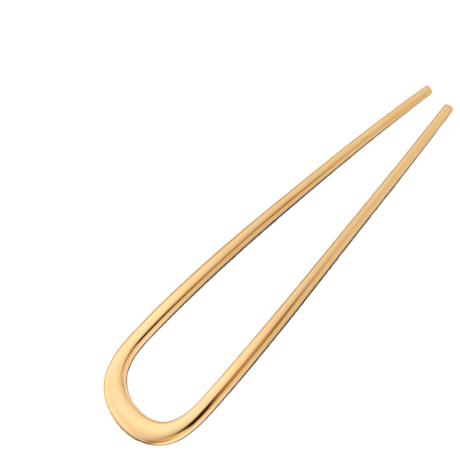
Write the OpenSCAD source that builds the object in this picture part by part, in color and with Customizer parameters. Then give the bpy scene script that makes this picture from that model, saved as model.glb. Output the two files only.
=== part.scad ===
// Hair fork: one strip of metal bent into a U, with two long prongs that draw together at the tips.
// The strip is broad round the bow, and tapers in width and thickness along the prongs.
// The whole fork arches gently from end to end.
// Origin: under the middle of the fork, on the surface it lies on. +X runs from the bow to the tips.

/* [Fork] */
// Overall length, from the bow's outer edge to the tips
fork_length = 130; // [100:1:180]
// Overall width at the shoulders, where the fork is widest
fork_width = 38.4; // [30:0.2:50]
// Distance from the bow's outer edge to the widest place
bow_depth = 24.4; // [18:0.2:32]
// Distance between the middles of the two tips
tip_spread = 9.2; // [6:0.2:16]
// Rise of the arch at mid-length
arch_rise = 2; // [0:0.1:5]

/* [Strip] */
// Width of the strip at the middle of the bow
bow_strip = 7.3; // [5.4:0.1:9]
// Width of the strip at the shoulders
shoulder_strip = 4.9; // [4:0.1:7]
// Width of the strip at the tips
tip_strip = 2.9; // [2:0.1:4]
// Thickness of the strip from the bow to the shoulders
thickness = 3.1; // [2.2:0.1:4]
// Thickness of the strip at the tips
tip_thickness = 2; // [1.8:0.1:3]
// Radius of the full, soft edge round the outside, as a share of the strip's thickness
outer_edge_share = 0.38; // [0.1:0.01:0.42]
// Radius of the crisper edge round the inside, as a share of the strip's thickness
inner_edge_share = 0.26; // [0.1:0.01:0.42]
// Slope of the crowned top and underside where they meet an edge radius, in degrees
crown_angle = 9; // [1:1:12]
// Radius round the blunt ends of the prongs
tip_round = 0.8; // [0.3:0.05:0.8]

/* [Hidden] */

half_spread = (fork_width - shoulder_strip) / 2;
bow_run = bow_depth - bow_strip / 2;
prong_run = fork_length - tip_round - bow_depth;
pull_in = half_spread - tip_spread / 2;

// Control sections of the bow, from beside its middle to the shoulder. Columns:
// share of bow_run, share of half_spread, share of the change from bow_strip to shoulder_strip
BOW_SHARES = [
    [0.00, 0.30, 0.00],
    [0.17, 0.81, 0.10],
    [0.58, 1.01, 0.90],
    [1.00, 1.00, 1.00],
];

// Control sections of a prong, from past the shoulder to the tip. Columns: share of prong_run,
// share of pull_in, share of the change from the shoulder's width and thickness to the tip's
PRONG_SHARES = [
    [0.10, 0.03, 0.04],
    [0.28, 0.15, 0.26],
    [0.46, 0.33, 0.52],
    [0.62, 0.51, 0.72],
    [0.82, 0.73, 0.87],
    [1.00, 1.00, 1.00],
];

// Steps between two control sections, steps round an edge radius, steps on half a crown, steps round a tip
SPAN_STEPS = 6;
EDGE_STEPS = 4;
CROWN_STEPS = 2;
TIP_STEPS = 4;

// Columns of a section
CENTRE = 0;
AHEAD = 1;
ACROSS = 2;
UP = 3;
WIDE = 4;
THICK = 5;

function between(a, b, share) = a + (b - a) * share;
function unit(v) = v / norm(v);
function reversed(list) = [for (i = [len(list) - 1:-1:0]) list[i]];
function mirrored(rows) = [for (row = rows) [row[0], -row[1], row[2], row[3]]];

// Control rows of one half, in millimetres: place along X, place along Y, strip width, thickness
bow_rows = [for (s = BOW_SHARES) [
    bow_strip / 2 + bow_run * s[0],
    half_spread * s[1],
    between(bow_strip, shoulder_strip, s[2]),
    thickness
]];
prong_rows = [for (s = PRONG_SHARES) [
    bow_depth + prong_run * s[0],
    half_spread - pull_in * s[1],
    between(shoulder_strip, tip_strip, s[2]),
    between(thickness, tip_thickness, s[2])
]];
// The middle row lies half as far outside the bow's middle as its neighbours lie inside it,
// so that the smooth curve passes through the middle
middle_row = [bow_strip / 2 - bow_run * BOW_SHARES[0][0] / 2, 0, bow_strip, thickness];
half_rows = concat(bow_rows, prong_rows);
last = len(half_rows) - 1;
// A row past each tip, in line with the last two, makes the curve end on the last row
past_row = 2 * half_rows[last] - half_rows[last - 1];
side_rows = concat(half_rows, [past_row]);
rows = concat(reversed(mirrored(side_rows)), [middle_row], side_rows);

// Weights of four neighbouring rows in a uniform cubic B-spline, and in its direction
function weights(t) = [(1 - t)^3, 3 * t^3 - 6 * t^2 + 4, 1 + 3 * t + 3 * t^2 - 3 * t^3, t^3] / 6;
function leanings(t) = [-(1 - t)^2, 3 * t^2 - 4 * t, 1 + 2 * t - 3 * t^2, t^2] / 2;
function four(i) = [for (k = [0:3]) rows[i + k]];

// The underside follows a parabola over the fork's length
function arch(x) = 4 * arch_rise * (x / fork_length) * (1 - x / fork_length);
function arch_slope(x) = 4 * arch_rise * (1 - 2 * x / fork_length) / fork_length;

// A section, in the columns named above, from a blended control row and its direction
function section(row, lean) =
    let (
        slope = arch_slope(row[0]),
        ahead = unit([lean[0], lean[1], slope * lean[0]]),
        across = unit(cross([-slope, 0, 1], ahead)),
        up = cross(ahead, across)
    )
    [[row[0], row[1], arch(row[0]) + row[3] / 2], ahead, across, up, row[2], row[3]];

span_count = len(rows) - 3;
path = [
    for (i = [0:span_count - 1], step = [0:SPAN_STEPS - 1])
        let (t = step / SPAN_STEPS) section(weights(t) * four(i), leanings(t) * four(i)),
    section(weights(1) * four(span_count - 1), leanings(1) * four(span_count - 1))
];

// One quarter of the section's outline, as [across, up], from beside the middle of the top to the side
function quarter(wide, thick, edge_radius) =
    let (
        flat = wide / 2 - edge_radius,
        bulge = flat * tan(crown_angle / 2),
        crown_radius = edge_radius + flat / sin(crown_angle)
    )
    [
        for (k = [1:CROWN_STEPS])
            let (a = crown_angle * k / CROWN_STEPS)
            [crown_radius * sin(a), thick / 2 - crown_radius * (1 - cos(a))],
        for (k = [1:EDGE_STEPS])
            let (a = between(crown_angle, 90, k / EDGE_STEPS))
            [flat + edge_radius * sin(a), thick / 2 - edge_radius - bulge + edge_radius * cos(a)]
    ];

// The whole outline, clockwise as seen looking back along the strip, starting above the middle.
// Across points out of the U, so the outer edges come first
function outline(wide, thick) =
    let (
        outer = quarter(wide, thick, outer_edge_share * thick),
        inner = quarter(wide, thick, inner_edge_share * thick)
    )
    concat(
        [[0, thick / 2]],
        outer,
        [for (p = reversed(outer)) [p.x, -p.y]],
        [[0, -thick / 2]],
        [for (p = inner) [-p.x, -p.y]],
        [for (p = reversed(inner)) [-p.x, p.y]]
    );

// The outline set at a section, drawn in by inset and moved ahead by shift
function ring(s, inset, shift) =
    let (
        middle = s[CENTRE] + s[AHEAD] * shift,
        sideways = s[ACROSS] * (1 - 2 * inset / s[WIDE]),
        upwards = s[UP] * (1 - 2 * inset / s[THICK])
    )
    [for (p = outline(s[WIDE], s[THICK])) middle + sideways * p.x + upwards * p.y];

// Rings round a blunt end, from the outermost one inwards; way is 1 ahead and -1 behind
function tip_rings(s, way) = [
    for (k = [TIP_STEPS:-1:1])
        let (a = 90 * k / TIP_STEPS)
        ring(s, tip_round * (1 - cos(a)), way * tip_round * sin(a))
];

rings = concat(
    tip_rings(path[0], -1),
    [for (s = path) ring(s, 0, 0)],
    reversed(tip_rings(path[len(path) - 1], 1))
);
ring_size = len(rings[0]);
skin_points = [for (r = rings, p = r) p];
skin_faces = [
    reversed([for (k = [0:ring_size - 1]) k]),
    for (i = [0:len(rings) - 2], k = [0:ring_size - 1])
        let (
            a = i * ring_size + k,
            b = i * ring_size + (k + 1) % ring_size
        )
        each [[a, b, b + ring_size], [a, b + ring_size, a + ring_size]],
    [for (k = [0:ring_size - 1]) (len(rings) - 1) * ring_size + k]
];
lowest = min([for (p = skin_points) p.z]);

module fork() {
    color("goldenrod")
        translate([-fork_length / 2, 0, -lowest])
            polyhedron(skin_points, skin_faces, convexity = 4);
}

fork();
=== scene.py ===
import math
from collections import namedtuple

import bmesh
import bpy
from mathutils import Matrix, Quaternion, Vector
from mathutils.kdtree import KDTree


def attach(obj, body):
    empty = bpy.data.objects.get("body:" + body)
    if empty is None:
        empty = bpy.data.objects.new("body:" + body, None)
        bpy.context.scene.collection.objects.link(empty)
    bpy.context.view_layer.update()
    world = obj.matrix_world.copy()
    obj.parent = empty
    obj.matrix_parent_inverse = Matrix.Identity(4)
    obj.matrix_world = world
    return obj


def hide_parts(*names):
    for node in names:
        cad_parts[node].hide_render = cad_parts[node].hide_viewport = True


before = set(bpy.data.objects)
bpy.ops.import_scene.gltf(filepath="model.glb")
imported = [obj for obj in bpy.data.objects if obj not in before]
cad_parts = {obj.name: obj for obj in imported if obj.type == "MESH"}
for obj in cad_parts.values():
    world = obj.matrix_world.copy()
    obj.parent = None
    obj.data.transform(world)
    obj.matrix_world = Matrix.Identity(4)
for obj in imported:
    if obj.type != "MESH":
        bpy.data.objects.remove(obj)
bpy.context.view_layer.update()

# Driving sizes of the fork, one strip of metal bent into a U, in metres
MM = 0.001
LENGTH = 130 * MM  # from the bow's outer edge to the tips
WIDTH = 38.4 * MM  # at the shoulders, where the fork is widest
BOW_DEPTH = 24.4 * MM  # from the bow's outer edge to the widest place
TIP_SPREAD = 9.2 * MM  # between the middles of the two tips
ARCH_RISE = 2 * MM  # of the whole fork, at mid-length
BOW_STRIP = 7.3 * MM  # width of the strip at the middle of the bow
SHOULDER_STRIP = 4.9 * MM  # its width at the shoulders
TIP_STRIP = 2.9 * MM  # its width at the tips
THICKNESS = 3.1 * MM  # of the strip, from the bow to the shoulders
TIP_THICKNESS = 2 * MM
TIP_ROUND = 0.75 * MM  # a little under the part's own, so that a flat is left between two roundings
OUTER_EDGE_SHARE = 0.38  # radius of the soft outer edge, as a share of the strip's thickness
INNER_EDGE_SHARE = 0.26  # radius of the crisper inner edge, likewise
CROWN_DROP = 0.34 * MM  # how much lower than its middle the top lies at the edges of the bow

# What keeps the piece inside the CAD box
GROUND_GAP = 0.02 * MM  # its lowest point lies this far above the surface
END_GAP = 0.02 * MM  # its blunt ends are cut short by this
THINNER_BY = 0.085 * MM  # its strip is drawn thinner by this

# Control sections of the bow: share of its run along X, share of the half spread,
# share of the change from the bow's strip width to the shoulder's
BOW_SHARES = [
    (0.00, 0.30, 0.00),
    (0.17, 0.81, 0.10),
    (0.58, 1.01, 0.90),
    (1.00, 1.00, 1.00),
]

# Control sections of a prong: share of its run along X, share of its way in to the tip,
# share of the change from the shoulder's width and thickness to the tip's
PRONG_SHARES = [
    (0.10, 0.03, 0.04),
    (0.28, 0.15, 0.26),
    (0.46, 0.33, 0.52),
    (0.62, 0.51, 0.72),
    (0.82, 0.73, 0.87),
    (1.00, 1.00, 1.00),
]

SPAN_STEPS = 5  # drawn sections between two control sections
PATTERN_STEPS = 40  # the same, for the line that the plate's patterns follow
EDGE_SEGMENTS = 4  # faces round an edge radius
SMOOTH_LEVELS = 2  # times that the finished mesh is subdivided
LARGEST_RADIUS = OUTER_EDGE_SHARE * THICKNESS
SHARP = math.radians(60)  # edges with more of an angle between their faces are rounded
END_REACH = 0.5 * MM  # edges this close to the tip's end go round it
CLOSE = 0.002 * MM  # places closer together than this count as one


# The line of the strip

Section = namedtuple("Section", "middle heading wide thick")


def between(a, b, share):
    """The value a share of the way from one value to another."""
    return a + (b - a) * share


def control_rows():
    """Control rows of one half: place along X, place along Y, strip width, strip thickness."""
    half_spread = (WIDTH - SHOULDER_STRIP) / 2
    bow_run = BOW_DEPTH - BOW_STRIP / 2
    prong_run = LENGTH - END_GAP - BOW_DEPTH
    pull_in = half_spread - TIP_SPREAD / 2
    rows = [Vector((BOW_STRIP / 2, 0, BOW_STRIP, THICKNESS))]
    for run, spread, slim in BOW_SHARES:
        rows.append(Vector((
            BOW_STRIP / 2 + bow_run * run,
            half_spread * spread,
            between(BOW_STRIP, SHOULDER_STRIP, slim),
            THICKNESS,
        )))
    for run, pull, slim in PRONG_SHARES:
        rows.append(Vector((
            BOW_DEPTH + prong_run * run,
            half_spread - pull_in * pull,
            between(SHOULDER_STRIP, TIP_STRIP, slim),
            between(THICKNESS, TIP_THICKNESS, slim),
        )))
    other_side = rows[1].copy()
    other_side.y = -other_side.y
    past_the_tip = 2 * rows[-1] - rows[-2]
    return [other_side] + rows + [past_the_tip]


def blended(rows, s):
    """A row of the smooth curve that four neighbouring rows guide, and its heading. The weights are
    those of a uniform cubic B-spline at a share s of the way from the second row to the third."""
    weights = ((1 - s) ** 3, 3 * s**3 - 6 * s**2 + 4, 1 + 3 * s + 3 * s**2 - 3 * s**3, s**3)
    leanings = (-((1 - s) ** 2), 3 * s**2 - 4 * s, 1 + 2 * s - 3 * s**2, s**2)
    row = sum((w * r for w, r in zip(weights, rows)), Vector((0, 0, 0, 0))) / 6
    lean = sum((w * r for w, r in zip(leanings, rows)), Vector((0, 0, 0, 0)))
    return row, math.atan2(lean.y, lean.x)


def arch_height(x):
    """Height of the underside at a distance from the bow's outer edge."""
    return 4 * ARCH_RISE * (x / LENGTH) * (1 - x / LENGTH)


def strip_sections(steps):
    """Sections from the bow's middle to the tip, with a number of steps from row to row."""
    rows = control_rows()
    spans = len(rows) - 3
    sections = []
    for count in range(spans * steps + 1):
        span = min(count // steps, spans - 1)
        row, heading = blended(rows[span:span + 4], count / steps - span)
        x, y, wide, thick = row
        middle = Vector((x - LENGTH / 2, y, arch_height(x) + thick / 2))
        sections.append(Section(middle, heading, wide, thick))
    return sections


# The fork

def pick(part, test):
    """Selects only the edges or faces whose middle passes the test."""
    bpy.ops.mesh.select_all(action="DESELECT")
    mesh = bmesh.from_edit_mesh(bpy.context.object.data)
    for item in getattr(mesh, part):
        if test(sum((v.co for v in item.verts), Vector()) / len(item.verts)):
            item.select_set(True)
    bmesh.update_edit_mesh(bpy.context.object.data)


def finish_with(piece, kind, **settings):
    """Adds a modifier with its settings and applies it."""
    modifier = piece.modifiers.new(kind.lower(), kind)
    for name, value in settings.items():
        setattr(modifier, name, value)
    bpy.ops.object.modifier_apply(modifier=modifier.name)


def draw_first_section():
    """A flat section at the bow's middle, with a crowned top and underside."""
    first = strip_sections(SPAN_STEPS)[0]
    middle, wide, thick = first.middle, first.wide, first.thick
    side_height = thick - 2 * CROWN_DROP
    middle_height = thick - THINNER_BY
    bpy.ops.object.select_all(action="DESELECT")
    bpy.ops.mesh.primitive_grid_add(
        x_subdivisions=3, y_subdivisions=1, size=1, location=middle, rotation=(math.pi / 2, 0, 0)
    )
    piece = bpy.context.object
    piece.name = "fork_metal"
    bpy.ops.object.transform_apply()
    bpy.ops.object.mode_set(mode="EDIT")
    bpy.ops.transform.resize(value=(wide, 1, side_height), center_override=middle)
    # The two upright edges beside the middle grow taller than the sides
    pick("edges", lambda at: abs(at.x - middle.x) < wide / 4 and abs(at.z - middle.z) < thick / 4)
    bpy.ops.transform.resize(value=(1, 1, middle_height / side_height), center_override=middle)
    bpy.ops.mesh.select_all(action="SELECT")
    return piece


def sweep_to_the_tip():
    """Extrudes the selected section along the strip, turning and resizing it at each step."""
    sections = strip_sections(SPAN_STEPS)
    for before, after in zip(sections, sections[1:]):
        ahead = after.middle - before.middle
        slim = after.wide / before.wide
        thin = after.thick / before.thick
        bpy.ops.mesh.extrude_region_move(TRANSFORM_OT_translate={"value": ahead})
        # With no window the operator turns the other way
        bpy.ops.transform.rotate(
            value=before.heading - after.heading, orient_axis="Z", center_override=after.middle
        )
        bpy.ops.transform.resize(value=(slim, slim, thin), center_override=after.middle)


def open_the_middle():
    """Takes away the end face at the bow's middle, where the other half joins on."""
    pick("faces", lambda at: abs(at.y) < CLOSE)
    bpy.ops.mesh.delete(type="FACE")
    bpy.ops.mesh.select_all(action="SELECT")
    bpy.ops.mesh.normals_make_consistent(inside=False)


def weigh_the_edges():
    """Gives the sharp edges the bevel weights of their radii: outer, inner and round the tip."""
    mesh = bmesh.from_edit_mesh(bpy.context.object.data)
    weights = mesh.edges.layers.float.new("bevel_weight_edge")
    sections = strip_sections(SPAN_STEPS)
    sharp_edges = [edge for edge in mesh.edges if edge.calc_face_angle(0) > SHARP]
    for edge in sharp_edges:
        at = (edge.verts[0].co + edge.verts[1].co) / 2
        nearest = min(sections, key=lambda section: (section.middle - at).length)
        outward = Vector((-math.sin(nearest.heading), math.cos(nearest.heading), 0))
        if at.x > LENGTH / 2 - END_REACH:
            radius = TIP_ROUND
        elif outward.dot(at - nearest.middle) > 0:
            radius = OUTER_EDGE_SHARE * nearest.thick
        else:
            radius = INNER_EDGE_SHARE * nearest.thick
        edge[weights] = radius / LARGEST_RADIUS
    bmesh.update_edit_mesh(bpy.context.object.data)


def seat(piece):
    """Moves the piece up or down until its lowest point is just above the surface."""
    lowest = min(v.co.z for v in piece.data.vertices)
    for vertex in piece.data.vertices:
        vertex.co.z += GROUND_GAP - lowest


def mark_the_strip(piece):
    """Keeps each vertex's place along and across the strip and its height, in millimetres, for the
    plate's patterns. Both halves are measured from the bow's middle, one with a minus sign."""
    middles = [section.middle for section in strip_sections(PATTERN_STEPS)]
    along = [0.0]
    for before, after in zip(middles, middles[1:]):
        along.append(along[-1] + (after - before).length)
    line = KDTree(len(middles))
    for number, middle in enumerate(middles):
        line.insert((middle.x, middle.y, 0), number)
    line.balance()
    marks = piece.data.attributes.new("strip_place", "FLOAT_VECTOR", "POINT")
    for vertex, mark in zip(piece.data.vertices, marks.data):
        side = -1 if vertex.co.y < 0 else 1
        flat = Vector((vertex.co.x, abs(vertex.co.y), 0))
        nearest, number = line.find(flat)[:2]
        ahead = middles[min(number + 1, len(middles) - 1)] - middles[max(number - 1, 0)]
        ahead.z = 0
        ahead.normalize()
        offset = flat - nearest
        across = ahead.x * offset.y - ahead.y * offset.x
        place = (side * (along[number] + offset.dot(ahead)), side * across, vertex.co.z)
        mark.vector = Vector(place) / MM


def make_fork():
    """One half is drawn and swept, its edges are rounded, and the other half is its mirror image."""
    piece = draw_first_section()
    sweep_to_the_tip()
    open_the_middle()
    weigh_the_edges()
    bpy.ops.object.mode_set(mode="OBJECT")
    finish_with(
        piece, "BEVEL", limit_method="WEIGHT", width=LARGEST_RADIUS, segments=EDGE_SEGMENTS
    )
    finish_with(piece, "MIRROR", use_axis=(False, True, False), merge_threshold=CLOSE)
    finish_with(piece, "SUBSURF", levels=SMOOTH_LEVELS, render_levels=SMOOTH_LEVELS)
    bpy.ops.object.shade_smooth()
    seat(piece)
    mark_the_strip(piece)
    return piece


# Materials

def srgb(hex_colour):
    """A hex colour as linear red, green, blue and alpha."""
    values = [int(hex_colour[i:i + 2], 16) / 255 for i in (1, 3, 5)]
    return [v / 12.92 if v <= 0.04045 else ((v + 0.055) / 1.055) ** 2.4 for v in values] + [1]


def add_node(tree, kind, links=None, **settings):
    """Adds a node with its settings and links. Links map an input to a value or another node's output."""
    node = tree.nodes.new(kind)
    for name, value in settings.items():
        setattr(node, name, value)
    for name, source in (links or {}).items():
        if isinstance(source, bpy.types.NodeSocket):
            tree.links.new(source, node.inputs[name])
        else:
            node.inputs[name].default_value = source
    return node


def new_material(name):
    """A material with an empty node tree, and that tree."""
    material = bpy.data.materials.new(name)
    material.use_nodes = True
    material.node_tree.nodes.clear()
    return material, material.node_tree


# The plate's patterns: size in millimetres along the strip, across it and up, and the number of
# finer layers. Real brushing is finer than a pixel of the picture, so its lines are drawn about one
# and a half pixels apart to show
PATTERNS = {
    "brushing": ((14, 0.4, 0.4), 2.0),
    "clouds": ((9, 5, 5), 3.0),
    "waves": ((16, 3, 3), 0.0),
    "rubs": ((5, 0.9, 0.9), 2.0),
}

# Most of a pattern lies between these two
PATTERN_LOW = 0.3
PATTERN_HIGH = 0.7

# What the patterns do: the pattern, and what its low and its high places give
EFFECTS = {
    "share of pale gold": ("clouds", 0.0, 1.0),
    "share of line gold": ("brushing", 0.0, 0.2),
    "roughness of rubs": ("rubs", 0.05, 0.11),
    "roughness of lines": ("brushing", 0.0, 0.04),
}

WARM_GOLD = "#FFD799"
PALE_GOLD = "#FFDDA7"
LINE_GOLD = "#E8B878"  # the deeper gold in the brushing lines
WAVE_HEIGHT = 0.02 * MM  # how high the slow wave in the surface stands
LINE_HEIGHT = 0.002 * MM  # how high the brushing lines stand


def gold_plate():
    """Gold plate over cast zinc alloy, brushed and polished. To the eye: a mellow shine with fine
    lines along the strip, faint clouds of warmer and paler gold, a slow wave in the reflections and
    softly rubbed spots."""
    material, tree = new_material("gold_plate")
    place = add_node(tree, "ShaderNodeAttribute", attribute_name="strip_place").outputs["Vector"]
    patterns = {}
    for name, (size, layers) in PATTERNS.items():
        scaled = add_node(tree, "ShaderNodeMapping", {
            "Vector": place, "Scale": [1 / length for length in size]
        })
        patterns[name] = add_node(tree, "ShaderNodeTexNoise", {
            "Vector": scaled.outputs["Vector"], "Scale": 1.0, "Detail": layers
        }).outputs["Fac"]
    effects = {}
    for name, (pattern, low, high) in EFFECTS.items():
        effects[name] = add_node(tree, "ShaderNodeMapRange", {
            "Value": patterns[pattern],
            "From Min": PATTERN_LOW,
            "From Max": PATTERN_HIGH,
            "To Min": low,
            "To Max": high,
        }).outputs["Result"]
    clouded = add_node(tree, "ShaderNodeMixRGB", {
        "Fac": effects["share of pale gold"],
        "Color1": srgb(WARM_GOLD),
        "Color2": srgb(PALE_GOLD),
    })
    lined = add_node(tree, "ShaderNodeMixRGB", {
        "Fac": effects["share of line gold"],
        "Color1": clouded.outputs["Color"],
        "Color2": srgb(LINE_GOLD),
    })
    roughness = add_node(
        tree, "ShaderNodeMath", {0: effects["roughness of rubs"], 1: effects["roughness of lines"]},
        operation="ADD"
    )
    waved = add_node(tree, "ShaderNodeBump", {"Height": patterns["waves"], "Distance": WAVE_HEIGHT})
    brushed = add_node(tree, "ShaderNodeBump", {
        "Height": patterns["brushing"],
        "Distance": LINE_HEIGHT,
        "Normal": waved.outputs["Normal"],
    })
    shader = add_node(tree, "ShaderNodeBsdfPrincipled", {
        "Base Color": lined.outputs["Color"],
        "Metallic": 1.0,
        "Roughness": roughness.outputs["Value"],
        "Normal": brushed.outputs["Normal"],
    })
    add_node(tree, "ShaderNodeOutputMaterial", {"Surface": shader.outputs["BSDF"]})
    return material


def white_board():
    """Painted matt board. To the eye: plain and pale, with no shine."""
    material, tree = new_material("white_board")
    shader = add_node(tree, "ShaderNodeBsdfPrincipled", {
        "Base Color": srgb("#F4F4F4"),
        "Roughness": 0.9,
        "Specular IOR Level": 0.0,
    })
    add_node(tree, "ShaderNodeOutputMaterial", {"Surface": shader.outputs["BSDF"]})
    return material


# The studio

AIM = Vector((-3.43, 20.48, 1.5)) * MM
CAMERA_DISTANCE = 1200 * MM
CAMERA_AZIMUTH = math.radians(-88.26)  # from the aim to the camera, from +X
CAMERA_ELEVATION = math.radians(53.4)
CAMERA_ROLL = math.radians(-47.57)
PIXELS_PER_MM = 3.504  # at the aim
IMAGE_PIXELS = 460  # the picture's width
SENSOR = 36  # the sensor's width, in millimetres

FLOOR_SIZE = 20  # each way, in metres

# Lights for the floor: name, direction up from the horizon on the camera's side, spread, strength
FLOOR_LIGHTS = [
    ("overhead", math.radians(64), math.radians(6), 1.2),
    ("soft_fill", math.radians(90), math.radians(150), 0.14),
]

# The room as the metal sees it past the ceiling's edges, from the horizon behind the fork, over
# the top, to the horizon on the camera's side: share of the half turn, colour, strength
ROOM = [
    (0.00, "#E8CCA8", 0.7),
    (0.14, "#F0D8B8", 0.78),
    (0.22, "#FFFFFF", 1.0),
    (0.40, "#E8C8A8", 0.5),
    (0.70, "#E8C8A8", 0.5),
    (0.82, "#FFF0E0", 0.85),
    (1.00, "#FFF0E0", 0.85),
]

# The ceiling over the fork, which only the metal sees: a glowing plane that lights nothing and paints
# reflections onto the metal. Its bands lie side by side: a painted softbox highlight, the painted
# reflection of a wall behind it, the softbox's warm edge, a black band overhead that paints dark
# reflections, and a pale front with a brown stretch of painted dark reflection. Each runs from the
# bow's side to the tips' side: share of the ceiling's length, colour, strength
CEILING_LENGTH = 600 * MM
CEILING_DEPTH = 700 * MM
CEILING_HEIGHT = 200 * MM
# painted highlight: the softbox as the metal reflects it
PAINTED_SOFTBOX_HIGHLIGHT = [
    (0.24, "#F4F6FF", 1.25),
    (0.33, "#F8FAFF", 1.12),
    (0.40, "#F4F8FF", 1.35),
    (0.48, "#FFFFFF", 0.97),
    (0.56, "#FFFFFF", 0.88),
]
# painted reflection of a wall behind the softbox
PAINTED_BACK_WALL_REFLECTION = [
    (0.28, "#FFFFFF", 1.4),
    (0.36, "#FFFFFF", 1.15),
    (0.39, "#FFFCF4", 0.92),
    (0.43, "#FFF4E8", 0.8),
    (0.49, "#F8DCB8", 0.5),
    (0.58, "#FFF0D8", 0.65),
]
# painted reflection of the softbox's warm edge
PAINTED_WARM_EDGE_REFLECTION = [
    (0.24, "#FFE4C8", 0.35),
    (0.33, "#FFE8D0", 0.45),
    (0.365, "#FFF4E8", 0.9),
    (0.44, "#FFEEDC", 0.8),
    (0.50, "#FFE4CC", 0.62),
    (0.58, "#FFEEDC", 0.75),
]
# painted dark reflection: a black band with no glow, between dimmer warm stretches
PAINTED_DARK_REFLECTION = [
    (0.27, "#FFE4B8", 0.82),
    (0.296, "#000000", 0.0),
    (0.396, "#000000", 0.0),
    (0.408, "#FFDCA8", 0.3),
    (0.43, "#FFDCB0", 0.42),
    (0.47, "#FFDCB0", 0.5),
    (0.505, "#FFB878", 0.28),
    (0.54, "#FFE8CC", 0.64),
    (0.60, "#FFF0E0", 0.77),
    (0.70, "#FFFFFF", 0.82),
]
# painted reflection of a pale front, with a brown stretch of painted dark reflection
PAINTED_PALE_FRONT_REFLECTION = [
    (0.18, "#FFFFFF", 1.0),
    (0.22, "#D09868", 0.3),
    (0.385, "#D09868", 0.3),
    (0.42, "#FFE0B8", 0.7),
    (0.50, "#FFE0C0", 0.6),
    (0.62, "#FFF0E0", 0.8),
]
# How far each later band covers the ones before it: share of the ceiling's depth from the
# camera's side to the back, cover
BACK_COVER = [(0.78, 0.0), (0.95, 1.0)]
WARM_COVER = [(0.54, 1.0), (0.64, 0.5), (0.74, 0.0)]
DARK_REFLECTION_COVER = [(0.50, 1.0), (0.54, 0.4), (0.58, 0.0)]
FRONT_COVER = [(0.18, 1.0), (0.30, 0.0)]

# The floor as the metal sees it, painted on a glowing plane as large as the ceiling that lights
# nothing. Its bands lie on the camera's side of the fork, along the middle of the bow, where a
# dim brownish stretch paints the shade of the floor past the bow's outer edge, and from there to
# the back. Their dimmer stretches along the middle of the prongs are painted shade that darkens
# the metal's walls there. Stops and covers are as for the ceiling
FLOOR_GLOW_HEIGHT = 0.01 * MM
# painted reflection of the floor on the camera's side, dimmer along the prongs' middle as painted shade
PAINTED_NEAR_FLOOR_REFLECTION = [
    (0.39, "#FFFFFF", 1.25),
    (0.42, "#FFFFFF", 1.0),
    (0.47, "#FFF4E8", 0.74),
    (0.50, "#FFF4E8", 0.72),
    (0.58, "#FFFCF8", 0.83),
]
# painted shade: a dim brownish stretch for the floor past the bow's outer edge
PAINTED_SHADED_FLOOR_REFLECTION = [
    (0.391, "#E8B880", 0.4),
    (0.397, "#FFF4E0", 1.0),
    (0.412, "#FFF0D8", 0.95),
    (0.43, "#FFFFFF", 0.98),
    (0.47, "#FFF4E8", 0.74),
]
# painted reflection of the floor from there to the back, dimmer along the prongs' middle as painted shade
PAINTED_INNER_FLOOR_REFLECTION = [
    (0.388, "#FFFFFF", 1.1),
    (0.412, "#FFF0D8", 0.95),
    (0.43, "#FFFFFF", 0.98),
    (0.47, "#FFF4E8", 0.74),
    (0.50, "#FFF4E8", 0.72),
    (0.58, "#FFFCF8", 0.83),
]
SHADED_COVER = [(0.472, 0.0), (0.484, 1.0)]
INNER_COVER = [(0.505, 0.0), (0.512, 1.0)]


def direction(azimuth, elevation):
    """A vector of length 1, turned from +X towards +Y and then raised."""
    flat = math.cos(elevation)
    return Vector((flat * math.cos(azimuth), flat * math.sin(azimuth), math.sin(elevation)))


def place_camera():
    """A camera at the photograph's angle, with the photograph's scale at the aim."""
    data = bpy.data.cameras.new("camera")
    view_width = IMAGE_PIXELS / PIXELS_PER_MM * MM
    data.sensor_width = SENSOR
    data.lens = SENSOR * CAMERA_DISTANCE / view_width
    camera = bpy.data.objects.new("camera", data)
    bpy.context.collection.objects.link(camera)
    back = direction(CAMERA_AZIMUTH, CAMERA_ELEVATION)
    camera.location = AIM + back * CAMERA_DISTANCE
    camera.rotation_mode = "QUATERNION"
    camera.rotation_quaternion = back.to_track_quat("Z", "Y") @ Quaternion((0, 0, 1), CAMERA_ROLL)
    bpy.context.scene.camera = camera


def stage_plane(name, width, depth, height, material):
    """A level plane under or over the middle of the fork, as part of the stage."""
    bpy.ops.object.select_all(action="DESELECT")
    bpy.ops.mesh.primitive_plane_add(size=1, location=(0, 0, height))
    plane = bpy.context.object
    plane.name = name
    plane.scale = (width, depth, 1)
    bpy.ops.object.transform_apply()
    plane.data.materials.append(material)
    return plane


def light_the_floor():
    """Lights for the floor alone, as the metal reflects the room instead."""
    for name, elevation, spread, strength in FLOOR_LIGHTS:
        data = bpy.data.lights.new(name, "SUN")
        data.energy = strength * math.pi  # a white floor facing the light is as bright as the strength
        data.angle = spread
        lamp = bpy.data.objects.new(name, data)
        lamp.rotation_mode = "QUATERNION"
        lamp.rotation_quaternion = direction(CAMERA_AZIMUTH, elevation).to_track_quat("Z", "Y")
        lamp.visible_glossy = False
        bpy.context.collection.objects.link(lamp)


def set_stops(ramp, stops):
    """Fills in a colour ramp from stops of place, colour and strength."""
    marks = ramp.elements
    for stop in stops[1:-1]:
        marks.new(stop[0])
    for mark, (place, colour, strength) in zip(marks, stops):
        mark.position = place
        mark.color = [strength * part for part in srgb(colour)[:3]] + [1]


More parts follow.
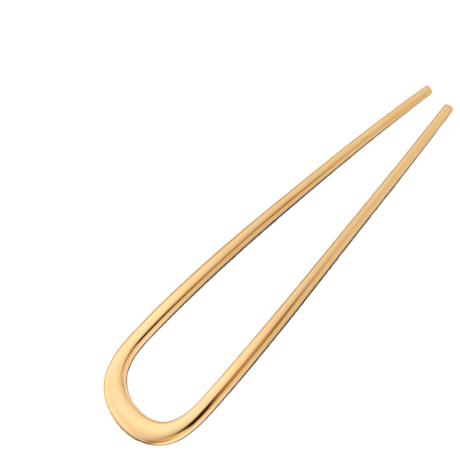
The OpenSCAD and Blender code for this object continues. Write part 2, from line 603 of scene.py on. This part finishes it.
def light_the_room():
    """The room round the fork, which the metal reflects. The camera sees plain white past the floor."""
    world = bpy.data.worlds.new("room")
    bpy.context.scene.world = world
    world.use_nodes = True
    world.cycles_visibility.diffuse = False  # the floor has its own lights
    tree = world.node_tree
    tree.nodes.clear()
    coordinates = add_node(tree, "ShaderNodeTexCoord")
    split = add_node(tree, "ShaderNodeSeparateXYZ", {"Vector": coordinates.outputs["Generated"]})
    over = add_node(
        tree, "ShaderNodeMath", {0: split.outputs["Z"], 1: split.outputs["Y"]}, operation="ARCTAN2"
    )
    share = add_node(
        tree, "ShaderNodeMath", {0: over.outputs["Value"], 1: math.pi}, operation="DIVIDE"
    )
    room = add_node(tree, "ShaderNodeValToRGB", {"Fac": share.outputs["Value"]})
    set_stops(room.color_ramp, ROOM)
    lit = add_node(tree, "ShaderNodeBackground", {"Color": room.outputs["Color"]})
    plain = add_node(tree, "ShaderNodeBackground", {"Color": srgb("#FFFFFF")})
    path = add_node(tree, "ShaderNodeLightPath")
    mix = add_node(tree, "ShaderNodeMixShader", {
        "Fac": path.outputs["Is Camera Ray"],
        1: lit.outputs["Background"],
        2: plain.outputs["Background"],
    })
    add_node(tree, "ShaderNodeOutputWorld", {"Surface": mix.outputs["Shader"]})


def glow(name, first_band, later_bands):
    """Glowing bands along X. Each later one covers those before it by its own cover along Y."""
    material, tree = new_material(name)
    coordinates = add_node(tree, "ShaderNodeTexCoord")
    split = add_node(tree, "ShaderNodeSeparateXYZ", {"Vector": coordinates.outputs["Generated"]})
    first = add_node(tree, "ShaderNodeValToRGB", {"Fac": split.outputs["X"]})
    set_stops(first.color_ramp, first_band)
    colour = first.outputs["Color"]
    for stops, cover in later_bands:
        covered = add_node(tree, "ShaderNodeValToRGB", {"Fac": split.outputs["Y"]})
        set_stops(covered.color_ramp, [(place, "#FFFFFF", share) for place, share in cover])
        band = add_node(tree, "ShaderNodeValToRGB", {"Fac": split.outputs["X"]})
        set_stops(band.color_ramp, stops)
        mix = add_node(tree, "ShaderNodeMixRGB", {
            "Fac": covered.outputs["Color"],
            "Color1": colour,
            "Color2": band.outputs["Color"],
        })
        colour = mix.outputs["Color"]
    light = add_node(tree, "ShaderNodeEmission", {"Color": colour})
    add_node(tree, "ShaderNodeOutputMaterial", {"Surface": light.outputs["Emission"]})
    return material


def set_for_the_metal(name, height, first_band, later_bands):
    """A glowing plane that only the metal sees, which lights nothing and paints reflections onto the
    metal.
    """
    material = glow(name, first_band, later_bands)
    plane = stage_plane(name, CEILING_LENGTH, CEILING_DEPTH, height, material)
    plane.visible_camera = False
    plane.visible_diffuse = False
    plane.visible_shadow = False


# The finished scene

fork = make_fork()
fork.data.materials.append(gold_plate())
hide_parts("fork")
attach(fork, "root")

stage_plane("floor", FLOOR_SIZE, FLOOR_SIZE, 0, white_board())
light_the_floor()
light_the_room()
# The ceiling of painted reflections, which only the metal sees
set_for_the_metal("ceiling", CEILING_HEIGHT, PAINTED_SOFTBOX_HIGHLIGHT, [
    (PAINTED_BACK_WALL_REFLECTION, BACK_COVER),
    (PAINTED_WARM_EDGE_REFLECTION, WARM_COVER),
    (PAINTED_DARK_REFLECTION, DARK_REFLECTION_COVER),
    (PAINTED_PALE_FRONT_REFLECTION, FRONT_COVER),
])
# The floor's painted reflections and painted shade, which only the metal sees
set_for_the_metal("floor_glow", FLOOR_GLOW_HEIGHT, PAINTED_NEAR_FLOOR_REFLECTION, [
    (PAINTED_SHADED_FLOOR_REFLECTION, SHADED_COVER),
    (PAINTED_INNER_FLOOR_REFLECTION, INNER_COVER),
])
place_camera()
bpy.context.scene.view_settings.view_transform = "Standard"
bpy.context.scene.cycles.caustics_reflective = False  # the metal throws no light spots on the floor
